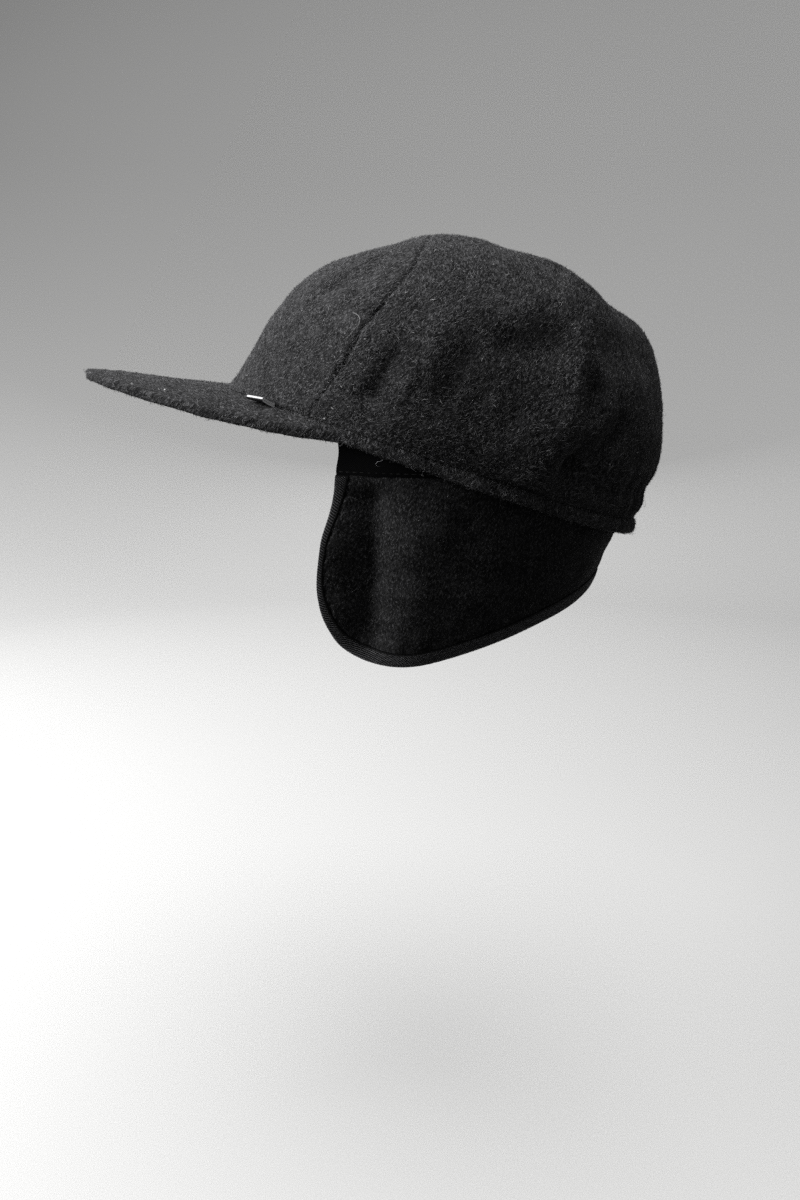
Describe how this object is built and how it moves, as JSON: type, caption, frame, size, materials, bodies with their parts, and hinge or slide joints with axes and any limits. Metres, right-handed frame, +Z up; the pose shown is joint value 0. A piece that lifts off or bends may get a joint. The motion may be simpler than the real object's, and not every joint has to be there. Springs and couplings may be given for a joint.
{
  "type": "wool cap with ear flap",
  "caption": "Charcoal wool six-panel cap with a short peak and a tape-bound ear and neck flap folded down.",
  "frame": {"origin": "middle of the head opening, level with the lower edge of the hem at the sides", "axes": "+Z up as worn, -Y forward along the peak, +X towards the wearer's left ear"},
  "size_m": [0.1713, 0.2784, 0.186],
  "materials": {
    "wool": "brushed charcoal wool melton",
    "cotton": "plain black cotton twill",
    "tape": "ribbed black twill tape",
    "ribbon": "satin ribbon"
  },
  "bodies": {
    "root": {"panel_front_left": "wool", "panel_side_left": "wool", "panel_back_left": "wool", "panel_back_right": "wool", "panel_side_right": "wool", "panel_front_right": "wool", "crown_hem": "wool", "peak": "wool", "ribbon_tab": "ribbon", "flap_band": "cotton", "ear_flap": "wool", "flap_binding": "tape"}
  },
  "joints": []
}
